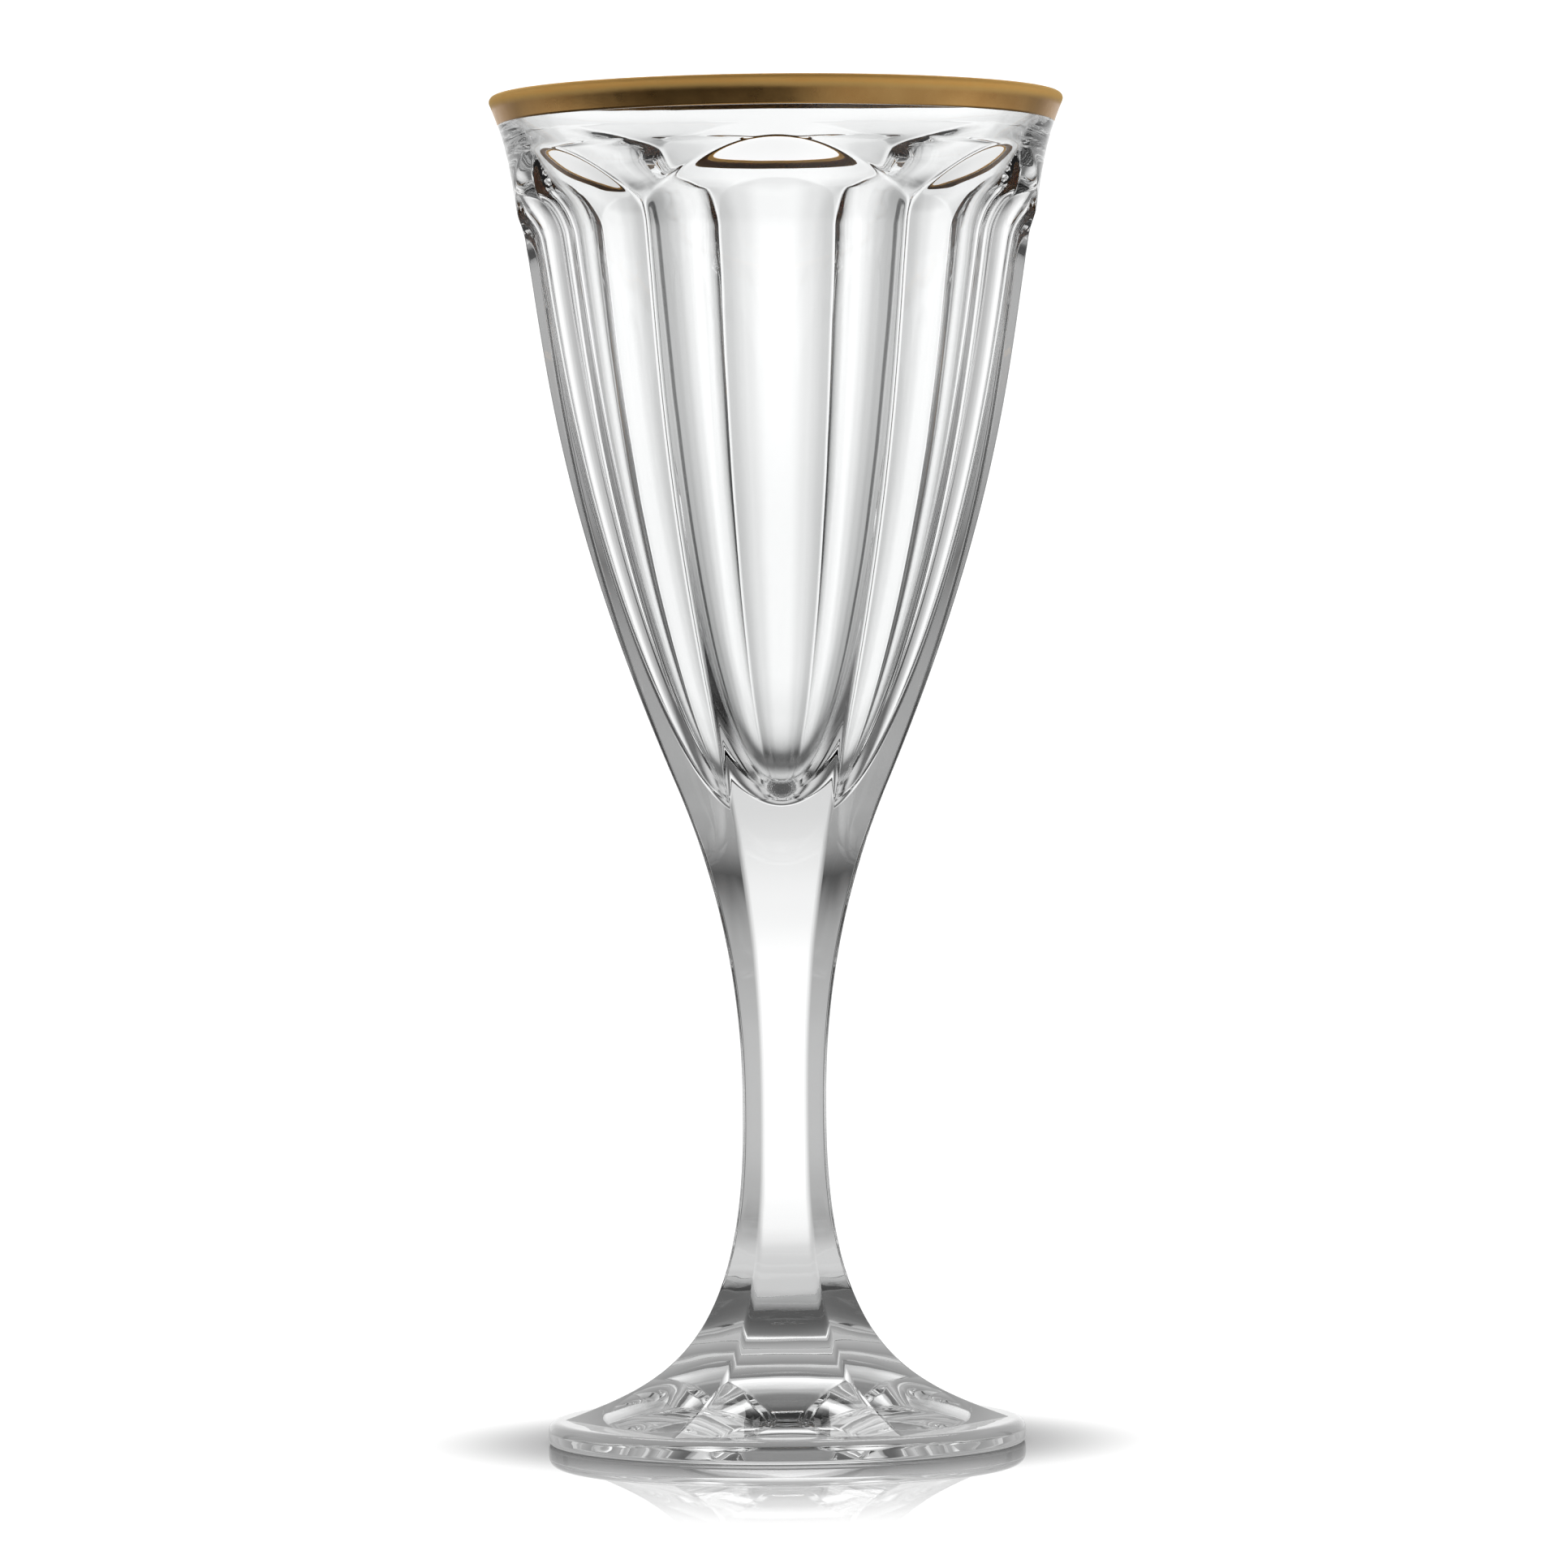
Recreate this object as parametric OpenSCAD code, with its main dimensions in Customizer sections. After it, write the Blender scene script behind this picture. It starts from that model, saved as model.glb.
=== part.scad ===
// Panelled stem glass with a gilded rim.
// Millimetres, +Z up, origin at the centre of the foot on the resting plane.
// Flat panels run from arches under the rim down the bowl and stem and out over
// the foot. One panel faces -Y. The glass is round at the rim, inside the cup
// and round the edge of the foot.

/* [Overall] */
// Height from the resting plane to the top of the rim
height = 200; // [165:1:245]
// Number of panels round the glass, always even
panels = 6; // [6:2:12]

/* [Rim] */
// Outside diameter at the rim
rim_d = 85.2; // [70:0.2:105]
// Thickness of the glass at the lip
lip_t = 1.6; // [1.2:0.1:2.4]
// How far the outside leans out at the rim, in degrees from upright
rim_lean = 23; // [8:1:30]
// How far the inside leans out at the rim, in degrees from upright
mouth_lean = 24; // [14:1:30]

/* [Bowl] */
// Height of the bowl, from its neck up to the rim
bowl_h = 102; // [80:1:125]
// Distance across the ridges at the neck
neck_d = 32; // [26:0.2:39]
// How far the outside leans out at the neck, in degrees from upright
neck_lean = 23; // [15:1:28]
// Depth of the cup
cup_depth = 104; // [85:1:104]
// Thickness of the glass in the middle of a panel, measured level, where the inside starts to flare
wall_t = 1.92; // [1.5:0.01:2.6]
// Distance below the rim at which the inside starts to flare
flare_drop = 24.7; // [22.5:0.1:28]
// Thickness of the glass in the middle of a panel, measured level, where the flare is steepest
flare_t = 1.84; // [1.4:0.01:2.4]
// Distance below the rim at which the flare is steepest
flare_top_drop = 15.2; // [14:0.1:16.5]
// Lean of the inside where the flare is steepest, in degrees from upright
flare_lean = 37.7; // [30:0.1:39]

/* [Arches] */
// Distance below the rim at which the panels start to sweep out
arch_drop = 21; // [18:0.5:24]
// Radius of the sweep
arch_r = 12; // [8:0.5:16]
// Lean of the sweep where it meets the collar, in degrees from upright
arch_lean = 37; // [33:1:44]
// How far the round collar stands out from the ridges below it
collar_step = 0.3; // [0.2:0.05:0.6]

/* [Stem] */
// Distance across the ridges where the stem is thinnest
stem_d = 12.9; // [10.5:0.1:16]
// Height of the thinnest place above the resting plane
waist_z = 48; // [40:1:58]
// Distance from the neck down to the joint of bowl and stem
bowl_joint_drop = 8; // [4:0.5:12]

/* [Foot] */
// Diameter of the foot
foot_d = 71; // [59:0.5:86]
// Lean of the ridges where they run out on the foot, in degrees from upright
foot_lean = -70; // [-75:1:-60]
// Thickness of the foot at its edge
edge_h = 3.4; // [2.8:0.1:4.2]
// Radius along the top of the edge
edge_top_r = 1.6; // [0.8:0.1:2]
// Radius along the bottom of the edge
edge_low_r = 0.7; // [0.3:0.1:0.8]
// Height of the joint of foot and stem above the resting plane
foot_joint_z = 27; // [22:0.5:32]
// Diameter of the hollow under the foot
hollow_d = 52; // [40:1:56]
// Height of the hollow at its middle
hollow_h = 4; // [0.5:0.1:4.5]

/* [Gilding] */
// Height of the gold band on the outside
gold_h = 4.3; // [3:0.1:6]
// Height of the gold band on the inside
gold_in_h = 1.2; // [0.9:0.1:3]
// Thickness of the gold band
gold_t = 0.12; // [0.08:0.01:0.2]

/* [Hidden] */
curve_steps = 14;
arc_steps = 8;
$fn = 120;
past = 1; // how far a cutting shape stands past what it cuts
clearance = 8; // room outside the rim before a cutting shape turns up
near = 0.01; // points of a line nearer than this to a cut are left out
slope_step = 0.5; // half the height over which a slope is measured
glass_color = [0.86, 0.90, 0.92, 0.55];
gold_color = [0.72, 0.53, 0.20];

rim_r = rim_d / 2;
neck_r = neck_d / 2;
stem_r = stem_d / 2;
foot_r = foot_d / 2;
neck_z = height - bowl_h;
cup_z = height - cup_depth;
bowl_joint_z = neck_z - bowl_joint_drop;
gold_z = height - gold_h;
gold_in_z = height - gold_in_h;
panel_share = cos(180 / panels);

// ---- curves ----

// Cubic curve through p[0] and p[3], with p[1] and p[2] as its handles
function curve(p) = [
    for (i = [0:curve_steps]) let (t = i / curve_steps, s = 1 - t)
        s * s * s * p[0] + 3 * s * s * t * p[1] + 3 * s * t * t * p[2] + t * t * t * p[3]
];
function lean_dir(angle) = [sin(angle), cos(angle)];
function tail(points) = [for (i = [1:len(points) - 1]) points[i]];
function reversed(points) = [for (i = [len(points) - 1:-1:0]) points[i]];
function shifted(points, dx) = [for (p = points) [p.x + dx, p.y]];

// Radius of a rising line of points at height z
function radius_at(points, z) = lookup(z, [for (p = points) [p.y, p.x]]);
// The part of a rising line of points from height z1 to height z2
function part_of(points, z1, z2) = concat(
    [[radius_at(points, z1), z1]],
    [for (p = points) if (p.y > z1 + near && p.y < z2 - near) p],
    [[radius_at(points, z2), z2]]
);

// ---- lip: a half round between the outside and the inside ----

lip_r = lip_t / 2;
lip_centre = [rim_r - lip_r, height - lip_r];
function lip_point(angle, inset) = lip_centre + (lip_r - inset) * [cos(angle), sin(angle)];
lip_out = lip_point(-rim_lean, 0);
lip_in = lip_point(180 - mouth_lean, 0);

// ---- ridge line, rising from the foot to the lip ----

// The line starts this far inside the round plate of the foot, so the panels run out on its top
foot_bury = [0.7, -0.5];
foot_end = [foot_r - edge_top_r, edge_h] + foot_bury;
// Handles of the curves, as shares of the height or width that each curve spans
foot_pull = [0.57, 0.79];
stem_pull = [0.16, 0.5];
bowl_pull = [0.59, 0.26];
waist = [stem_r, waist_z];
neck = [neck_r, neck_z];
ridge_set_back = 3; // degrees by which the ridges lean out less than the rim
ridge_top_lean = rim_lean - ridge_set_back;
foot_rise = waist_z - foot_end.y;
foot_spread = foot_end.x - stem_r;
stem_rise = neck_z - waist_z;

foot_curve = [foot_end, foot_end + foot_pull[0] * foot_spread * lean_dir(foot_lean),
              waist - [0, foot_pull[1] * foot_rise], waist];
stem_curve = [waist, waist + [0, stem_pull[0] * stem_rise],
              neck - stem_pull[1] * stem_rise * lean_dir(neck_lean), neck];
bowl_curve = [neck, neck + bowl_pull[0] * bowl_h * lean_dir(neck_lean),
              lip_out - bowl_pull[1] * bowl_h * lean_dir(ridge_top_lean), lip_out];
ridge = concat(curve(foot_curve), tail(curve(stem_curve)), tail(curve(bowl_curve)));

// ---- outside of the round collar, rising from below the arches to the lip ----

collar_below = 3.5; // below the start of the arches
collar_lean = 10;
collar_pull = [12, 8];
collar_z = height - arch_drop - collar_below;
collar_foot = [radius_at(ridge, collar_z) + collar_step, collar_z];
collar = curve([
    collar_foot, collar_foot + collar_pull[0] * lean_dir(collar_lean),
    lip_out - collar_pull[1] * lean_dir(rim_lean), lip_out
]);

// ---- middle line of a panel, rising from the foot and out over the collar ----

sweep_z = height - arch_drop;
panel_line = [for (p = ridge) [p.x * panel_share, p.y]];
sweep_start = [radius_at(panel_line, sweep_z), sweep_z];
panel_slope = (radius_at(panel_line, sweep_z + slope_step) - radius_at(panel_line, sweep_z - slope_step))
    / (2 * slope_step);
panel_lean = atan(panel_slope);
sweep_centre = sweep_start + arch_r * [cos(panel_lean), -sin(panel_lean)];
sweep = [
    for (i = [0:arc_steps]) let (a = panel_lean + (arch_lean - panel_lean) * i / arc_steps)
        sweep_centre + arch_r * [-cos(a), sin(a)]
];
sweep_end = sweep[arc_steps];
panel_face = concat(part_of(panel_line, foot_end.y, sweep_z), tail(sweep));
clear_r = rim_r + clearance;
panel_side = concat(
    [[panel_line[0].x, -past]],
    panel_face,
    [sweep_end + (clear_r - sweep_end.x) / sin(arch_lean) * lean_dir(arch_lean)],
    [[clear_r, height + clear_r]]
);

// ---- inside of the cup, rising from its bottom to the lip ----

cup_floor_pull = 11;
cup_wall_pull = 0.65; // share of the depth below the flare
flare_pull = 3.9;
mouth_pull = [3.2, 12.5];
// Point inside the middle of a panel at height z, where the glass is t thick
function inside_of_panel(z, t) = [radius_at(panel_face, z) - t, z];
flare_low = inside_of_panel(height - flare_drop, wall_t);
flare_top = inside_of_panel(height - flare_top_drop, flare_t);
wall_dir = lean_dir(panel_lean);
cup_wall = [[0, cup_z], [cup_floor_pull, cup_z],
            flare_low - cup_wall_pull * (flare_low.y - cup_z) * wall_dir, flare_low];
flare = [flare_low, flare_low + flare_pull * wall_dir,
         flare_top - flare_pull * lean_dir(flare_lean), flare_top];
mouth = [flare_top, flare_top + mouth_pull[0] * lean_dir(flare_lean),
         lip_in - mouth_pull[1] * lean_dir(mouth_lean), lip_in];
cup = concat(curve(cup_wall), tail(curve(flare)), tail(curve(mouth)));

// ---- section of the lip under the gold, or with inset 0 over it ----

function lip_section(inset) = concat(
    shifted(part_of(collar, gold_z, lip_out.y), -inset),
    [for (i = [1:arc_steps - 1]) let (a = -rim_lean + (180 + rim_lean - mouth_lean) * i / arc_steps)
        lip_point(a, inset)],
    reversed(shifted(part_of(cup, gold_in_z, lip_in.y), inset))
);

// ---- solids ----

// The space inside all the panels
module panel_prism() {
    intersection_for (i = [0:panels / 2 - 1])
        rotate([90, 0, 90 + i * 360 / panels])
            linear_extrude(height = 4 * clear_r, center = true)
                polygon(concat(panel_side, [for (p = reversed(panel_side)) [-p.x, p.y]]));
}

module bowl() {
    color(glass_color)
        intersection() {
            rotate_extrude() polygon(concat(
                [[0, bowl_joint_z], [rim_r, bowl_joint_z], [rim_r, collar_z]],
                part_of(collar, collar_z, gold_z),
                lip_section(gold_t),
                reversed(part_of(cup, cup_z, gold_in_z))
            ));
            panel_prism();
        }
}

module stem() {
    color(glass_color)
        intersection() {
            translate([0, 0, foot_joint_z])
                cylinder(r = rim_r, h = bowl_joint_z - foot_joint_z);
            panel_prism();
        }
}

// Round plate of the foot
module foot_plate() {
    rotate_extrude() polygon(concat(
        [[0, 0]],
        [for (i = [0:arc_steps]) let (a = -90 + 90 * i / arc_steps)
            [foot_r - edge_low_r, edge_low_r] + edge_low_r * [cos(a), sin(a)]],
        [for (i = [0:arc_steps]) let (a = 90 * i / arc_steps)
            [foot_r - edge_top_r, edge_h - edge_top_r] + edge_top_r * [cos(a), sin(a)]],
        [[0, edge_h]]
    ));
}

// Shallow dome under the foot
module foot_hollow() {
    rotate_extrude() polygon(concat(
        [[0, -past], [hollow_d / 2, -past]],
        [for (i = [0:arc_steps]) let (x = 1 - i / arc_steps)
            [x * hollow_d / 2, hollow_h * (1 - x * x)]]
    ));
}

module foot() {
    color(glass_color)
        difference() {
            union() {
                foot_plate();
                intersection() {
                    translate([0, 0, edge_h / 2])
                        cylinder(r = 2 * foot_r, h = foot_joint_z - edge_h / 2);
                    panel_prism();
                }
            }
            foot_hollow();
        }
}

module gold_rim() {
    color(gold_color)
        rotate_extrude() polygon(concat(lip_section(0), reversed(lip_section(gold_t))));
}

bowl();
stem();
foot();
gold_rim();
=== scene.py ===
"""Panelled stem glass with a gilded rim, standing on a pale floor in soft studio light."""

import math

import bpy
import numpy as np
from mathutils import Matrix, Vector


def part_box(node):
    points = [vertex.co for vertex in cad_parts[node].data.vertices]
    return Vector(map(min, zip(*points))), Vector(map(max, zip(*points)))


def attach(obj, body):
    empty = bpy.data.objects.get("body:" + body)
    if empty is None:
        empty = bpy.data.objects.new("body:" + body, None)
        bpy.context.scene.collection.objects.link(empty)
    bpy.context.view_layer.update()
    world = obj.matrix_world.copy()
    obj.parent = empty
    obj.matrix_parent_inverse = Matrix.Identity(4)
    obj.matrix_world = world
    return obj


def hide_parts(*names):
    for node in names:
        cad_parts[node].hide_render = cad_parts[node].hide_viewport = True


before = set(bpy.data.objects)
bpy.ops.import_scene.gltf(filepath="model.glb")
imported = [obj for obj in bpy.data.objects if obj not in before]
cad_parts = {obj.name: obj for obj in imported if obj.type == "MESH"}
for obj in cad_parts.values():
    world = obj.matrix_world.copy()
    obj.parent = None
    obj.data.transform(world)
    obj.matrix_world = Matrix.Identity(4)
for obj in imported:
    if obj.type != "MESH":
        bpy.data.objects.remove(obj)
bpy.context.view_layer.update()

MM = 0.001
PANELS = 6
PANEL_TURN = math.radians(360 / PANELS)
HALF_PANEL = PANEL_TURN / 2
PANEL_SHARE = math.cos(HALF_PANEL)


# ---- sizes in millimetres, taken from the frame ----

def box_mm(node):
    """Lowest and highest corner of a CAD node, in millimetres."""
    return [np.array(corner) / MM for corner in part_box(node)]


FOOT_R = box_mm("foot")[1][0]
FOOT_JOINT_Z = box_mm("stem")[0][2]
BOWL_JOINT_Z = box_mm("stem")[1][2]
GOLD_Z = box_mm("gold_rim")[0][2]
RIM_R = box_mm("gold_rim")[1][0]
HEIGHT = box_mm("gold_rim")[1][2]

# ---- sizes in millimetres and leans in degrees from upright, as in the CAD model ----

LIP_T = 1.6
RIM_LEAN = 23
MOUTH_LEAN = 24
BOWL_H = 102
NECK_R = 16
NECK_LEAN = 23
CUP_DEPTH = 104
WALL_T = 1.92
FLARE_DROP = 24.7
FLARE_T = 1.84
FLARE_TOP_DROP = 15.2
FLARE_LEAN = 37.7
ARCH_DROP = 21
ARCH_R = 12
ARCH_LEAN = 37
COLLAR_STEP = 0.3
COLLAR_BELOW = 3.5
COLLAR_LEAN = 10
RIDGE_SET_BACK = 3
STEM_R = 6.45
WAIST_Z = 48
FOOT_LEAN = -70
# Where the ridge line starts inside the round plate of the foot: outward and upward of its flat edge
FOOT_BURY = (0.7, -0.5)
EDGE_H = 3.4
EDGE_TOP_R = 1.6
EDGE_LOW_R = 0.7
HOLLOW_R = 26
HOLLOW_H = 4.0
GOLD_T = 0.12
GOLD_IN_H = 1.2

# ---- reach of the handles of the outline curves, as in the CAD model ----

# Shares of the height or width that a curve spans
FOOT_PULL = (0.57, 0.79)
STEM_PULL = (0.16, 0.5)
BOWL_PULL = (0.59, 0.26)
CUP_WALL_PULL = 0.65
# Millimetres
COLLAR_PULL = (12, 8)
CUP_FLOOR_PULL = 11
FLARE_PULL = 3.9
MOUTH_PULL = (3.2, 12.5)
# Straight run past the end of the sweep, long enough to clear the collar
SWEEP_PAST = 20

# ---- softness of the moulded edges, in millimetres ----

RIDGE_ROUND = 1.3
CREASE_ROUND = 0.15

# ---- mesh density ----

RING = 480
CURVE_STEPS = 400
SWEEP_STEPS = 40
# How much closer the points of a ring lie at its ridges and creases than elsewhere
CROWDING = 5
CROWDING_STEPS = 600
# How wide that is: in millimetres at a ridge, and in radians at a crease and on a round ring
RIDGE_WIDTH = 2.2
CREASE_TURN = 0.03
ROUND_TURN = 1.0
# Heights between rings, in millimetres
BOWL_STEP = 1.0
ARCH_STEP = 0.3
COLLAR_RING_STEP = 0.4
STEM_STEP = 0.8
END_STEP = 0.04
# Height above the start of the sweep by which every arch has closed
ARCH_RISE = 16
# Rings up the outside of the lip, over it and down its inside
LIP_RINGS = (12, 15, 5)
# Every so many points of a curve get a ring
CUP_SKIP = 4
FLANK_SKIP = 3
# Where the rings between the panels and the round edge of the foot lie, as shares of the way
PLATE_SHARES = (0.1, 0.5, 0.9, 1.0)
EDGE_TOP_RINGS = 12
EDGE_LOW_RINGS = 9
HOLLOW_RINGS = 40
# Points of a panel's line over which its lean is measured
SLOPE_POINTS = 4

# ---- looks ----

GLASS_COLOR = (0.985, 0.99, 0.99, 1)
GLASS_IOR = 1.52
GOLD_DARK = (0.60, 0.33, 0.11, 1)
GOLD_LIGHT = (0.72, 0.43, 0.155, 1)
GOLD_PAINTED_HIGHLIGHT = (1.0, 0.68, 0.25, 1)
# Millimetres below the top of the lip at which the painted highlight starts and is full
LIP_HIGHLIGHT = (2.3, 1.0)
# Heights in metres at which the ripples of the stem and foot start and are full
RIPPLES = (0.040, 0.018)

# ---- floor ----

FLOOR_R = 0.30
FLOOR_SIDES = 96
# Distances in metres from the middle of the foot, where each effect starts and ends: the painted shade and
# the mirror image fade out, the floor thins into the backdrop, and the same for its painted glow to the
# glass
PAINTED_SHADE = (0.030, 0.062)
MIRROR = (0.03, 0.14)
FLOOR_EDGE = (0.14, 0.26)
GLOW = (0.011, 0.050)
GLOW_EDGE = (0.06, 0.14)

# ---- camera and studio ----

STUDIO_STRENGTH = 1.15
BACKDROP = (1.05, 1.05, 1.05, 1)
LENS = 175
SENSOR = 36
CAMERA_AT = (0, -1.133, 0.113)
# Degrees
CAMERA_DOWN = 0.77
CAMERA_ROLL = 0.5
CAMERA_TURN = -0.024


# ---- outline curves, in (radius, height) millimetres ----

def curve(p):
    """Points along the cubic curve with ends p[0] and p[3] and handles p[1] and p[2]."""
    t = np.linspace(0, 1, CURVE_STEPS)[:, None]
    s = 1 - t
    p = np.array(p, float)
    return s**3 * p[0] + 3 * s**2 * t * p[1] + 3 * s * t**2 * p[2] + t**3 * p[3]


def lean_dir(angle):
    """Unit step up a line that leans out by angle degrees."""
    return np.array([math.sin(math.radians(angle)), math.cos(math.radians(angle))])


def radius_at(line, z):
    """Radius of a rising line of points at height z."""
    return np.interp(z, line[:, 1], line[:, 0])


def joined(*lines):
    """Lines of points end to end, each shared end kept once."""
    return np.vstack([lines[0]] + [line[1:] for line in lines[1:]])


lip_r = LIP_T / 2
lip_centre = np.array([RIM_R - lip_r, HEIGHT - lip_r])


def lip_point(angle, inset=0):
    """Point at angle degrees round the half round of the lip, inset below its surface."""
    a = math.radians(angle)
    return lip_centre + (lip_r - inset) * np.array([math.cos(a), math.sin(a)])


lip_out = lip_point(-RIM_LEAN)
lip_in = lip_point(180 - MOUTH_LEAN)
foot_end = np.array([FOOT_R - EDGE_TOP_R, EDGE_H]) + FOOT_BURY
waist = np.array([STEM_R, WAIST_Z])
neck = np.array([NECK_R, HEIGHT - BOWL_H])
up = np.array([0, 1])
foot_spread = foot_end[0] - STEM_R
foot_rise = WAIST_Z - foot_end[1]
stem_rise = neck[1] - WAIST_Z

# Ridge line, from the foot to the lip
foot_curve = curve([foot_end, foot_end + FOOT_PULL[0] * foot_spread * lean_dir(FOOT_LEAN),
                    waist - FOOT_PULL[1] * foot_rise * up, waist])
stem_curve = curve([waist, waist + STEM_PULL[0] * stem_rise * up,
                    neck - STEM_PULL[1] * stem_rise * lean_dir(NECK_LEAN), neck])
bowl_curve = curve([neck, neck + BOWL_PULL[0] * BOWL_H * lean_dir(NECK_LEAN),
                    lip_out - BOWL_PULL[1] * BOWL_H * lean_dir(RIM_LEAN - RIDGE_SET_BACK), lip_out])
ridge = joined(foot_curve, stem_curve, bowl_curve)

# Round collar, from below the arches to the lip
collar_z = HEIGHT - ARCH_DROP - COLLAR_BELOW
collar_foot = np.array([radius_at(ridge, collar_z) + COLLAR_STEP, collar_z])
collar = curve([collar_foot, collar_foot + COLLAR_PULL[0] * lean_dir(COLLAR_LEAN),
                lip_out - COLLAR_PULL[1] * lean_dir(RIM_LEAN), lip_out])

# Middle line of a panel, which sweeps out through the collar at its top
sweep_z = HEIGHT - ARCH_DROP
panel_low = ridge[ridge[:, 1] < sweep_z] * [PANEL_SHARE, 1]
panel_lean = math.degrees(math.atan2(*(panel_low[-1] - panel_low[-1 - SLOPE_POINTS])))
sweep_centre = panel_low[-1] + ARCH_R * np.array([math.cos(math.radians(panel_lean)),
                                                  -math.sin(math.radians(panel_lean))])
sweep_angles = np.radians(np.linspace(panel_lean, ARCH_LEAN, SWEEP_STEPS))
sweep = sweep_centre + ARCH_R * np.column_stack([-np.cos(sweep_angles), np.sin(sweep_angles)])
sweep_on = np.array([sweep[-1], sweep[-1] + SWEEP_PAST * lean_dir(ARCH_LEAN)])
panel_line = joined(panel_low, sweep, sweep_on)


def inside_of_panel(drop, thickness):
    """Point inside the middle of a panel, drop below the rim, where the glass has that thickness."""
    z = HEIGHT - drop
    return np.array([radius_at(panel_line, z) - thickness, z])


# Inside of the cup, from its bottom to the lip
cup_z = HEIGHT - CUP_DEPTH
flare_low = inside_of_panel(FLARE_DROP, WALL_T)
flare_top = inside_of_panel(FLARE_TOP_DROP, FLARE_T)
cup_wall = curve([[0, cup_z], [CUP_FLOOR_PULL, cup_z],
                  flare_low - CUP_WALL_PULL * (flare_low[1] - cup_z) * lean_dir(panel_lean), flare_low])
flare = curve([flare_low, flare_low + FLARE_PULL * lean_dir(panel_lean),
               flare_top - FLARE_PULL * lean_dir(FLARE_LEAN), flare_top])
mouth = curve([flare_top, flare_top + MOUTH_PULL[0] * lean_dir(FLARE_LEAN),
               lip_in - MOUTH_PULL[1] * lean_dir(MOUTH_LEAN), lip_in])
cup = joined(cup_wall, flare, mouth)


# ---- rings: one closed loop of points round the glass ----

def ring_points(r, phi, z):
    """Points at radius r and angle phi round the glass, all at height z."""
    return np.column_stack([r * np.cos(phi), r * np.sin(phi), np.full_like(phi, z)])


def panel_angle(phi):
    """Angle from the middle of the nearest panel, for points at angle phi round the glass."""
    return (phi + math.pi / 2 + HALF_PANEL) % PANEL_TURN - HALF_PANEL


def panelled_radius(apothem, psi):
    """Radius of a polygon with softened corners, at angle psi from the middle of a side."""
    core = apothem - RIDGE_ROUND
    centre = core / PANEL_SHARE
    beta = HALF_PANEL - np.abs(psi)
    corner = centre * np.cos(beta) + np.sqrt(np.maximum(RIDGE_ROUND**2 - (centre * np.sin(beta)) ** 2, 0))
    start = np.arctan(core * math.tan(HALF_PANEL) / apothem)
    return np.where(np.abs(psi) < start, apothem / np.cos(psi), corner)


def soft_min(a, b, k):
    """The smaller of a and b, rounded where they cross."""
    return np.minimum(a, b) - k * np.log1p(np.exp(-np.abs(a - b) / k))


def ring_angles(ridge_turn, crease=None):
    """RING angles round the glass, crowded within ridge_turn of the ridges and near a crease.

    The crease is an angle from the middle of each panel.
    """
    psi = np.linspace(0, HALF_PANEL, CROWDING_STEPS)
    weight = 1 + CROWDING * np.exp(-((HALF_PANEL - psi) / ridge_turn) ** 2)
    if crease is not None:
        weight = weight + CROWDING * np.exp(-((psi - crease) / CREASE_TURN) ** 2)
    share = np.concatenate([[0], np.cumsum((weight[1:] + weight[:-1]) / 2)])
    share /= share[-1]
    per_half = RING // PANELS // 2
    side = np.interp(np.linspace(0, 1, per_half + 1), share, psi)
    one = np.concatenate([-side[::-1][:-1], side[:-1]])
    return np.concatenate([one + k * PANEL_TURN for k in range(PANELS)]) - math.pi / 2


def panel_ring(apothem, z, collar_r=None):
    """Ring of the panelled outside at height z, cut by a round collar where collar_r is given."""
    crease = None
    if collar_r is not None and apothem < collar_r:
        crease = min(math.acos(apothem / collar_r), HALF_PANEL)
    phi = ring_angles(RIDGE_WIDTH / apothem, crease)
    r = panelled_radius(apothem, panel_angle(phi))
    if collar_r is not None:
        r = soft_min(r, np.full_like(r, collar_r), CREASE_ROUND)
    return ring_points(r, phi, z)


def round_ring(r, z):
    """Ring of radius r at height z."""
    return ring_points(r, ring_angles(ROUND_TURN), z)


def levels(z1, z2, step):
    """Heights from z1 up to z2 about step apart, with a close pair at each end.

    The close pairs make the shading meet that of the next piece.
    """
    count = max(2, int(round((z2 - z1) / step)))
    return np.concatenate([[z1], np.linspace(z1 + END_STEP, z2 - END_STEP, count), [z2]])


def outside_rings(z1, z2, step):
    """Rings of the panelled outside from height z1 up to z2."""
    rings = []
    for z in levels(z1, z2, step):
        collar_r = radius_at(collar, z) if z > collar_z else None
        rings.append(panel_ring(radius_at(panel_line, z), z, collar_r))
    return rings


def lip_rings(inset):
    """Rings over the lip, from the lower edge of the gold outside to its edge inside."""
    up_count, over_count, down_count = LIP_RINGS
    rings = [round_ring(radius_at(collar, z) - inset, z) for z in np.linspace(GOLD_Z, lip_out[1], up_count)]
    for a in np.linspace(-RIM_LEAN, 180 - MOUTH_LEAN, over_count)[1:-1]:
        rings.append(round_ring(*lip_point(a, inset)))
    for z in np.linspace(lip_in[1], HEIGHT - GOLD_IN_H, down_count):
        rings.append(round_ring(radius_at(cup, z) + inset, z))
    return rings


# ---- meshes ----

def link_mesh(name, verts, faces):
    """An object in the scene with a mesh of those points and faces."""
    mesh = bpy.data.meshes.new(name)
    mesh.from_pydata(verts, [], faces)
    obj = bpy.data.objects.new(name, mesh)
    bpy.context.scene.collection.objects.link(obj)
    return obj


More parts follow.
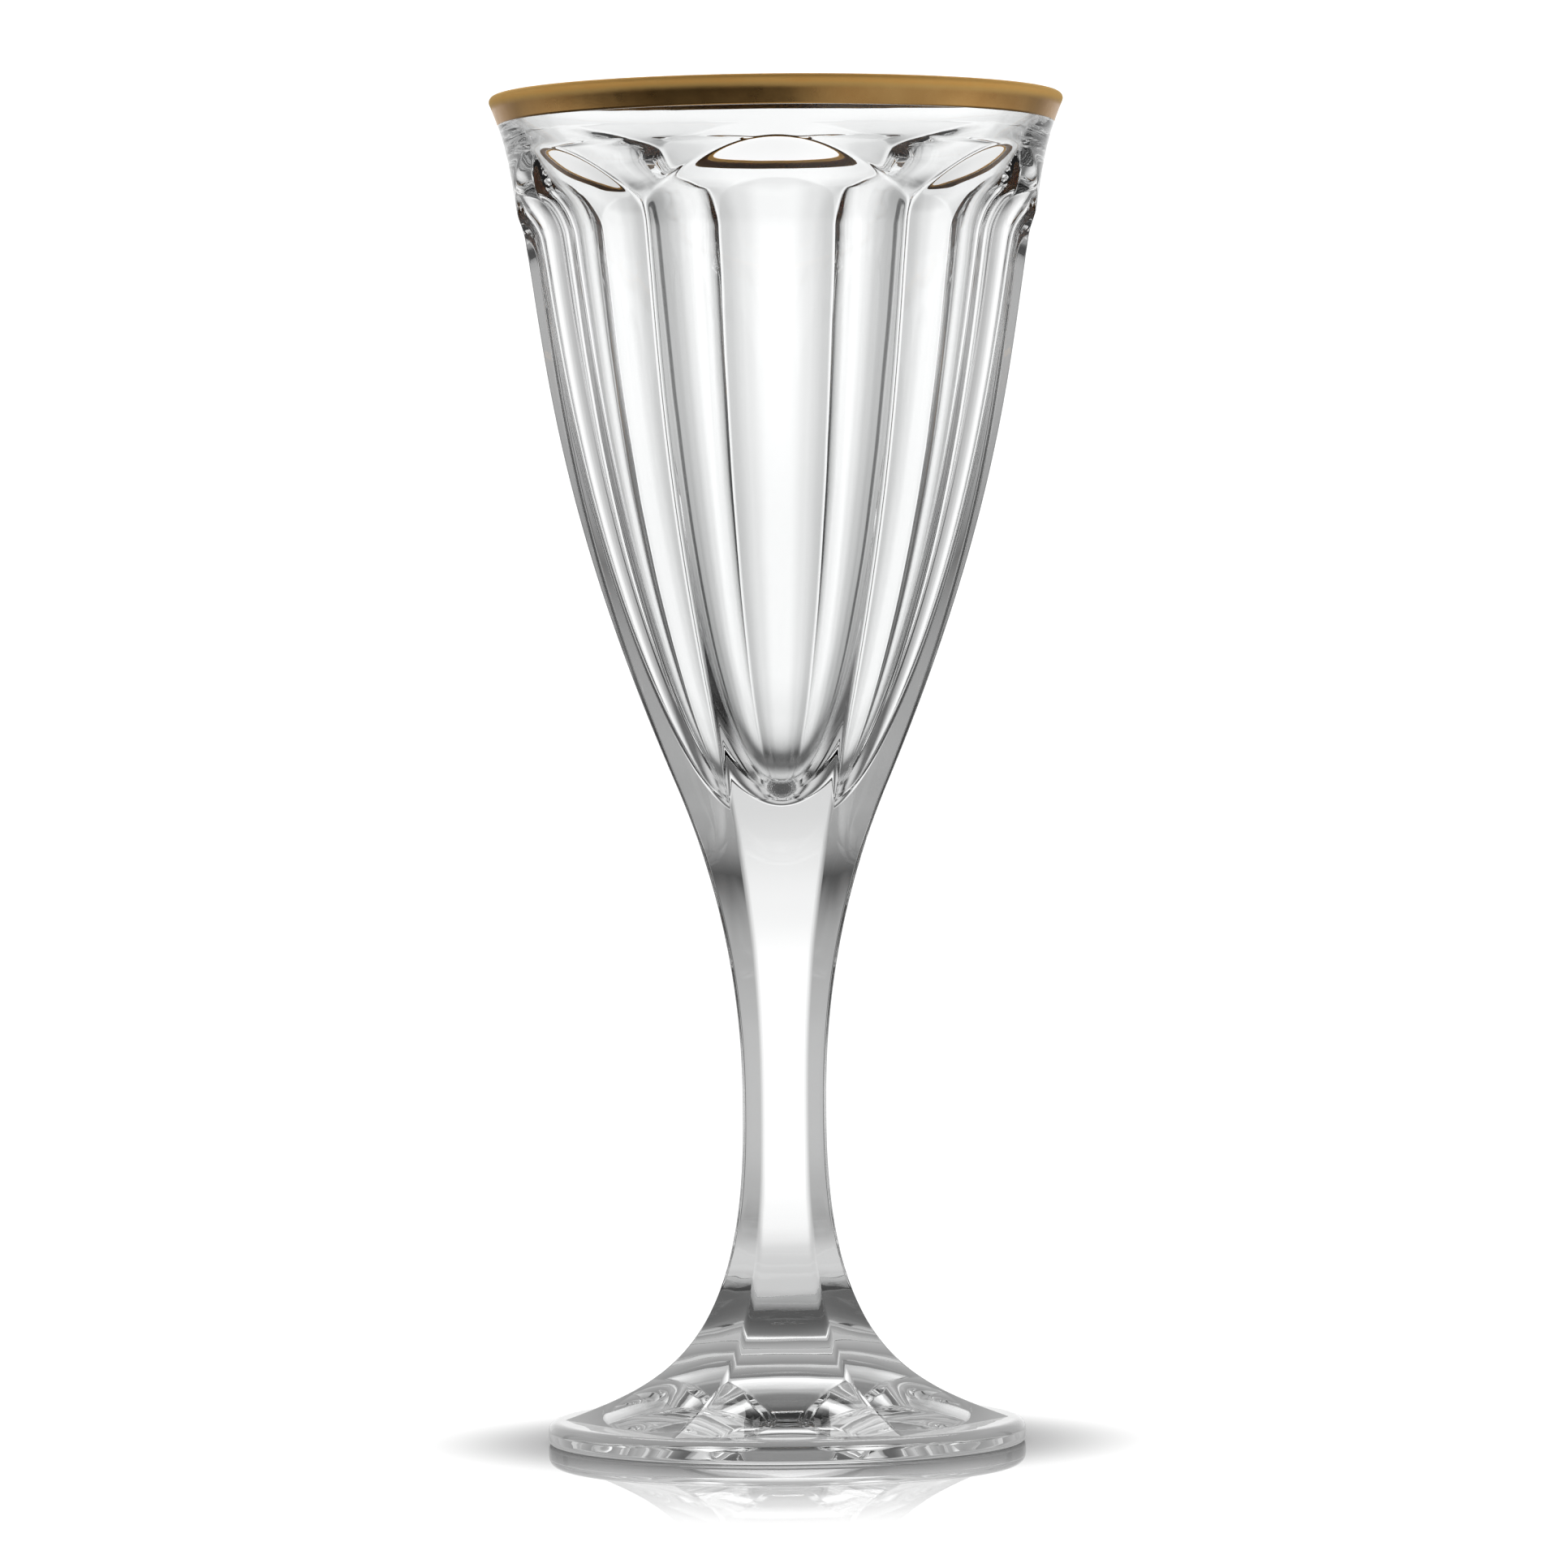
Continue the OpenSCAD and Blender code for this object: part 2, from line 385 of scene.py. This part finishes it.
def ring_mesh(name, rings, materials, end="cap"):
    """A closed mesh through the rings, in millimetres.

    The first end is a flat cap in the second material. The last end is such a cap too with end
    "cap", and closes in the first material with "pole". With "loop" the last ring joins the first,
    and there are no ends.
    """
    verts = np.vstack(rings)
    faces = []
    n = len(rings)
    for i in range(n if end == "loop" else n - 1):
        a, b = i * RING, (i + 1) % n * RING
        faces += [(a + j, a + (j + 1) % RING, b + (j + 1) % RING, b + j) for j in range(RING)]
    side_count = len(faces)
    if end != "loop":
        verts = np.vstack([verts, rings[0].mean(axis=0), rings[-1].mean(axis=0)])
        first_middle, last_middle = n * RING, n * RING + 1
        last = (n - 1) * RING
        faces += [((j + 1) % RING, j, first_middle) for j in range(RING)]
        faces += [(last_middle, last + j, last + (j + 1) % RING) for j in range(RING)]
    is_cap = np.zeros(len(faces), bool)
    is_cap[side_count:side_count + RING] = True
    if end == "cap":
        is_cap[side_count:] = True
    obj = link_mesh(name, (verts * MM).tolist(), faces)
    for material in materials:
        obj.data.materials.append(material)
    obj.data.polygons.foreach_set("use_smooth", [True] * len(faces))
    obj.data.polygons.foreach_set("material_index", is_cap.astype(int).tolist())
    obj.data.update()
    sharpen(obj.data, is_cap)
    return obj


def sharpen(mesh, is_cap):
    """Marks the edges where a cap meets the side as sharp."""
    kinds = {}
    for poly in mesh.polygons:
        for key in poly.edge_keys:
            kinds.setdefault(key, set()).add(bool(is_cap[poly.index]))
    for edge in mesh.edges:
        if len(kinds[edge.key]) == 2:
            edge.use_edge_sharp = True


# ---- nodes ----

def set_sockets(tree, node, sockets):
    """Links each socket to the output that is given for it, or gives it a value of its own."""
    for key, value in sockets.items():
        if isinstance(value, bpy.types.NodeSocket):
            tree.links.new(value, node.inputs[key])
        else:
            node.inputs[key].default_value = value


def add_node(tree, kind, sockets=None, **settings):
    """A new node with those settings and sockets."""
    node = tree.nodes.new("ShaderNode" + kind)
    for key, value in settings.items():
        setattr(node, key, value)
    set_sockets(tree, node, sockets or {})
    return node


def set_surface(tree, shader):
    """Makes that shader the surface of the material."""
    set_sockets(tree, tree.nodes["Material Output"], {"Surface": shader.outputs[0]})


def calc(tree, operation, *values):
    """Result of a Math node."""
    return add_node(tree, "Math", dict(enumerate(values)), operation=operation).outputs[0]


def remap(tree, value, span, low=0.0, high=1.0, kind="LINEAR"):
    """Goes from low to high as value goes from one end of span to the other."""
    sockets = {"Value": value, "From Min": span[0], "From Max": span[1], "To Min": low, "To Max": high}
    return add_node(tree, "MapRange", sockets, interpolation_type=kind).outputs["Result"]


def noise(tree, place, scale, detail):
    """Soft noise with about scale spots to the metre."""
    return add_node(tree, "TexNoise", {"Vector": place, "Scale": scale, "Detail": detail}).outputs[0]


def stretched(tree, place, scale):
    """The same places, with each axis multiplied by its scale."""
    return add_node(tree, "Mapping", {"Vector": place, "Scale": scale}).outputs[0]


def mix_color(tree, share, a, b):
    """Colour a, turning to b as share goes from 0 to 1."""
    return add_node(tree, "Mix", {"Factor": share, "A": a, "B": b}, data_type="RGBA").outputs["Result"]


def mix_shader(tree, share, a, b):
    """Shader a, turning to b as share goes from 0 to 1."""
    return add_node(tree, "MixShader", {0: share, 1: a.outputs[0], 2: b.outputs[0]})


def split_xyz(tree, vector):
    """The three parts of a vector."""
    return add_node(tree, "SeparateXYZ", {0: vector}).outputs


# ---- materials ----

def new_material(name):
    """A new material, its node tree and its main shader."""
    material = bpy.data.materials.new(name)
    material.use_nodes = True
    return material, material.node_tree, material.node_tree.nodes["Principled BSDF"]


def crystal_material():
    """Clear glass with faint moulding waves, and stronger ripples low on the stem and on the foot."""
    material, tree, shader = new_material("crystal_glass")
    place = add_node(tree, "TexCoord").outputs["Object"]
    waves = add_node(tree, "Bump", {
        "Distance": 0.00002,
        "Height": noise(tree, stretched(tree, place, (1.0, 1.0, 0.35)), 150, 1.0),
    })
    ripples = add_node(tree, "Bump", {
        "Strength": remap(tree, split_xyz(tree, place)[2], RIPPLES, kind="SMOOTHSTEP"),
        "Distance": 0.00006,
        "Height": noise(tree, stretched(tree, place, (1.0, 1.0, 3.0)), 110, 1.0),
        "Normal": waves.outputs[0],
    })
    set_sockets(tree, shader, {
        "Base Color": GLASS_COLOR,
        "Roughness": 0.0,
        "IOR": GLASS_IOR,
        "Transmission Weight": 1.0,
        "Normal": ripples.outputs[0],
    })
    return material


def joint_material():
    """For the faces inside the fused glass, which don't show."""
    material, tree, shader = new_material("fused_joint")
    tree.nodes.remove(shader)
    set_surface(tree, add_node(tree, "BsdfTransparent"))
    return material


def gold_material():
    """Satin gold film, mottled, with a painted highlight: lighter and rougher towards the top of the lip.
    """
    material, tree, shader = new_material("gold_band")
    place = add_node(tree, "TexCoord").outputs["Object"]
    mottle = remap(tree, noise(tree, place, 160, 4.0), (0.3, 0.7))
    tone = mix_color(tree, mottle, GOLD_DARK, GOLD_LIGHT)
    satin = remap(tree, noise(tree, place, 420, 3.0), (0.0, 1.0), 0.22, 0.36)
    # Painted highlight: the colour turns lighter towards the top of the lip, where the gold is also rougher
    lip_highlight_span = [(HEIGHT - drop) * MM for drop in LIP_HIGHLIGHT]
    lip_highlight = remap(tree, split_xyz(tree, place)[2], lip_highlight_span, kind="SMOOTHSTEP")
    grain = add_node(tree, "Bump", {"Distance": 0.00001, "Height": noise(tree, place, 2500, 3.0)})
    set_sockets(tree, shader, {
        "Metallic": 1.0,
        "Base Color": mix_color(tree, lip_highlight, tone, GOLD_PAINTED_HIGHLIGHT),
        "Roughness": calc(tree, "MULTIPLY_ADD", lip_highlight, 0.5, satin),
        "Normal": grain.outputs[0],
    })
    return material


crystal = crystal_material()
joint = joint_material()
gold = gold_material()


# ---- pieces ----

def make_bowl():
    arches_top = sweep_z + ARCH_RISE
    rings = outside_rings(BOWL_JOINT_Z, collar_z, BOWL_STEP)
    rings += outside_rings(collar_z, arches_top, ARCH_STEP)[1:]
    rings += outside_rings(arches_top, GOLD_Z, COLLAR_RING_STEP)[1:]
    rings += lip_rings(GOLD_T)
    below_gold = cup[cup[:, 1] < HEIGHT - GOLD_IN_H][::-1]
    rings += [round_ring(*p) for p in below_gold[:-1:CUP_SKIP]]
    return ring_mesh("glass_bowl", rings, [crystal, joint], "pole")


def make_stem():
    return ring_mesh("glass_stem", outside_rings(FOOT_JOINT_Z, BOWL_JOINT_Z, STEM_STEP), [crystal, joint])


def make_foot():
    """Rings down the panels, out over the plate, round its edge and in under the hollow."""
    flank = foot_curve[(foot_curve[:, 1] < FOOT_JOINT_Z) & (foot_curve[:, 1] > EDGE_H)][::-1]
    rings = [panel_ring(radius_at(panel_line, FOOT_JOINT_Z), FOOT_JOINT_Z)]
    rings += [panel_ring(r * PANEL_SHARE, z) for r, z in flank[::FLANK_SKIP]]
    rings.append(panel_ring(radius_at(panel_line, EDGE_H), EDGE_H))
    panel_end = rings[-1]
    phi = np.arctan2(panel_end[:, 1], panel_end[:, 0])
    flat_r = FOOT_R - EDGE_TOP_R
    plate_end = ring_points(flat_r, phi, EDGE_H)
    rings += [panel_end + (plate_end - panel_end) * share for share in PLATE_SHARES]
    for a in np.radians(np.linspace(90, 0, EDGE_TOP_RINGS)[1:]):
        r = flat_r + EDGE_TOP_R * math.cos(a)
        rings.append(ring_points(r, phi, EDGE_H - EDGE_TOP_R + EDGE_TOP_R * math.sin(a)))
    for a in np.radians(np.linspace(0, -90, EDGE_LOW_RINGS)):
        r = FOOT_R - EDGE_LOW_R + EDGE_LOW_R * math.cos(a)
        rings.append(ring_points(r, phi, EDGE_LOW_R + EDGE_LOW_R * math.sin(a)))
    for x in np.linspace(1, 0, HOLLOW_RINGS)[:-1]:
        rings.append(ring_points(x * HOLLOW_R, phi, HOLLOW_H * (1 - x * x)))
    obj = ring_mesh("glass_foot", rings, [crystal, joint], "pole")
    # The rings run downwards, which turns the faces inside out
    obj.data.flip_normals()
    return obj


def make_gold():
    return ring_mesh("gold_band", lip_rings(0) + lip_rings(GOLD_T)[::-1], [gold], "loop")


pieces = {"bowl": make_bowl(), "stem": make_stem(), "foot": make_foot(), "gold_rim": make_gold()}
for node, piece in pieces.items():
    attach(piece, "root")
    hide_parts(node)


# ---- stage ----

def floor_material():
    """Pale floor with a painted shade round the foot and a mirror image, as the camera sees it.

    To the glass it is a painted glow, with painted shade under the foot.
    """
    material, tree, shader = new_material("floor")
    place = add_node(tree, "NewGeometry").outputs["Position"]
    distance = add_node(tree, "VectorMath", {0: place}, operation="LENGTH").outputs["Value"]

    def fade(span, near, far):
        return remap(tree, distance, span, near, far, kind="SMOOTHSTEP")

    # Painted shade: the floor's colour darkens towards the foot
    set_sockets(tree, shader, {
        "Base Color": fade(PAINTED_SHADE, 0.42, 0.9),
        "Roughness": 0.9,
        "Specular IOR Level": 0.0,
    })
    # Painted shade in the mirror image too, darker near the foot
    mirror = add_node(tree, "BsdfGlossy", {"Color": fade(PAINTED_SHADE, 0.38, 1.0), "Roughness": 0.01})
    fresnel = add_node(tree, "Fresnel", {"IOR": 1.5}).outputs[0]
    shine = add_node(tree, "Math", {0: fade(MIRROR, 1.5, 0.0), 1: fresnel},
                     operation="MULTIPLY", use_clamp=True)
    clear = add_node(tree, "BsdfTransparent")
    # Painted light: to the glass the floor glows, with painted shade under the foot
    painted_glow = add_node(tree, "Emission", {"Strength": fade(GLOW, 0.10, 0.66)})
    to_camera = mix_shader(tree, fade(FLOOR_EDGE, 0.0, 1.0),
                           mix_shader(tree, shine.outputs[0], shader, mirror), clear)
    to_glass = mix_shader(tree, fade(GLOW_EDGE, 0.0, 1.0), painted_glow, clear)
    camera_ray = add_node(tree, "LightPath").outputs["Is Camera Ray"]
    set_surface(tree, mix_shader(tree, camera_ray, to_glass, to_camera))
    return material


def make_floor():
    angles = np.linspace(0, 2 * math.pi, FLOOR_SIDES + 1)[:-1]
    verts = [(FLOOR_R * math.cos(a), FLOOR_R * math.sin(a), 0) for a in angles]
    obj = link_mesh("floor", verts, [tuple(range(FLOOR_SIDES))])
    obj.data.materials.append(floor_material())


def ramp(tree, value, stops):
    """Grey that follows value through the stops, each a pair of value and level."""
    node = tree.nodes.new("ShaderNodeValToRGB")
    node.color_ramp.interpolation = "EASE"
    elements = node.color_ramp.elements
    while len(elements) < len(stops):
        elements.new(0.5)
    for element, (at, level) in zip(elements, stops):
        element.position = at
        element.color = (level, level, level, 1)
    tree.links.new(value, node.inputs["Fac"])
    return node.outputs["Color"]


def make_world():
    """White to the camera. To the glass, white panels on four sides with dark gaps at the corners."""
    world = bpy.data.worlds.new("studio")
    bpy.context.scene.world = world
    world.use_nodes = True
    tree = world.node_tree
    x, y, z = split_xyz(tree, add_node(tree, "TexCoord").outputs["Generated"])

    # From the middle of a side (0) to a corner of the studio (1)
    corner_turn = math.pi / 4
    turn = calc(tree, "PINGPONG", calc(tree, "ARCTAN2", y, x), corner_turn)
    gaps = ramp(tree, calc(tree, "DIVIDE", turn, corner_turn), [
        (0.0, 1.0), (0.12, 1.0), (0.32, 0.82), (0.52, 0.6),
        (0.75, 0.46), (0.91, 0.42), (0.95, 0.06), (1.0, 0.0)])
    # The gaps close towards the top and the bottom of the studio
    steep = ramp(tree, calc(tree, "ABSOLUTE", z), [(0.0, 0.0), (0.30, 0.0), (0.55, 1.0)])
    around = calc(tree, "MAXIMUM", gaps, steep)

    # From straight down (0) to straight up (1)
    height = calc(tree, "ADD", calc(tree, "MULTIPLY", z, 0.5), 0.5)
    upward = ramp(tree, height, [
        (0.0, 0.3), (0.25, 0.45), (0.33, 0.68), (0.40, 0.86), (0.455, 1.0), (0.545, 1.0),
        (0.60, 0.86), (0.685, 0.66), (0.75, 0.42), (0.82, 0.2), (1.0, 0.1)])
    level = calc(tree, "MULTIPLY", around, upward)

    # Darker low on the front left and at the back
    low = ramp(tree, calc(tree, "MULTIPLY", z, -1.0), [(0.0, 0.0), (0.28, 0.0), (0.46, 1.0)])
    left = calc(tree, "MULTIPLY_ADD", x, -0.85, calc(tree, "MULTIPLY", y, -0.5))
    left_dark = ramp(tree, left, [(0.0, 0.0), (0.05, 0.0), (0.3, 0.95), (1.0, 0.95)])
    back_dark = ramp(tree, y, [(0.0, 0.0), (0.05, 0.0), (0.3, 0.75), (1.0, 0.75)])
    low_dark = calc(tree, "MAXIMUM", calc(tree, "MULTIPLY", low, left_dark),
                    calc(tree, "MULTIPLY", low, back_dark))

    # Darker high on the front
    front = ramp(tree, calc(tree, "MULTIPLY", y, -1.0), [(0.0, 0.0), (0.03, 0.0), (0.25, 1.0)])
    high = ramp(tree, z, [(0.0, 0.0), (0.26, 0.0), (0.42, 0.93), (1.0, 0.93)])
    high_dark = calc(tree, "MULTIPLY", front, high)
    for dark in (low_dark, high_dark):
        level = calc(tree, "MULTIPLY", level, calc(tree, "SUBTRACT", 1.0, dark))

    camera_ray = add_node(tree, "LightPath").outputs["Is Camera Ray"]
    set_sockets(tree, tree.nodes["Background"], {
        "Color": mix_color(tree, camera_ray, level, BACKDROP),
        "Strength": STUDIO_STRENGTH,
    })


def add_area(name, place, size, power, target, shows):
    """Soft rectangular light that faces target. Reflections show it where shows is true."""
    light = bpy.data.lights.new(name, "AREA")
    light.shape = "RECTANGLE"
    light.size, light.size_y = size
    light.energy = power
    obj = bpy.data.objects.new(name, light)
    bpy.context.scene.collection.objects.link(obj)
    obj.location = place
    aim = Vector(np.array(target) - np.array(place))
    obj.rotation_euler = aim.to_track_quat("-Z", "Y").to_euler()
    obj.visible_glossy = shows
    obj.visible_transmission = False


def make_camera():
    data = bpy.data.cameras.new("camera")
    data.sensor_width = SENSOR
    data.lens = LENS
    camera = bpy.data.objects.new("camera", data)
    bpy.context.scene.collection.objects.link(camera)
    camera.location = CAMERA_AT
    camera.rotation_mode = "XYZ"
    camera.rotation_euler = [math.radians(a) for a in (90 - CAMERA_DOWN, CAMERA_ROLL, CAMERA_TURN)]
    bpy.context.scene.camera = camera


make_floor()
make_world()
add_area("overhead", place=(0, 0.1, 0.9), size=(0.8, 0.8), power=12, target=(0, 0, 0.1), shows=False)
add_area("back", place=(0, 0.5, 0.75), size=(0.7, 0.4), power=2.2, target=(0, 0, 0.2), shows=True)
make_camera()

scene = bpy.context.scene
scene.view_settings.view_transform = "Standard"
# Light turns many times inside thick glass, and each total reflection counts as a glossy bounce
scene.cycles.max_bounces = 40
scene.cycles.transmission_bounces = 40
scene.cycles.glossy_bounces = 12
scene.cycles.transparent_max_bounces = 24
scene.cycles.caustics_reflective = False
scene.cycles.caustics_refractive = False
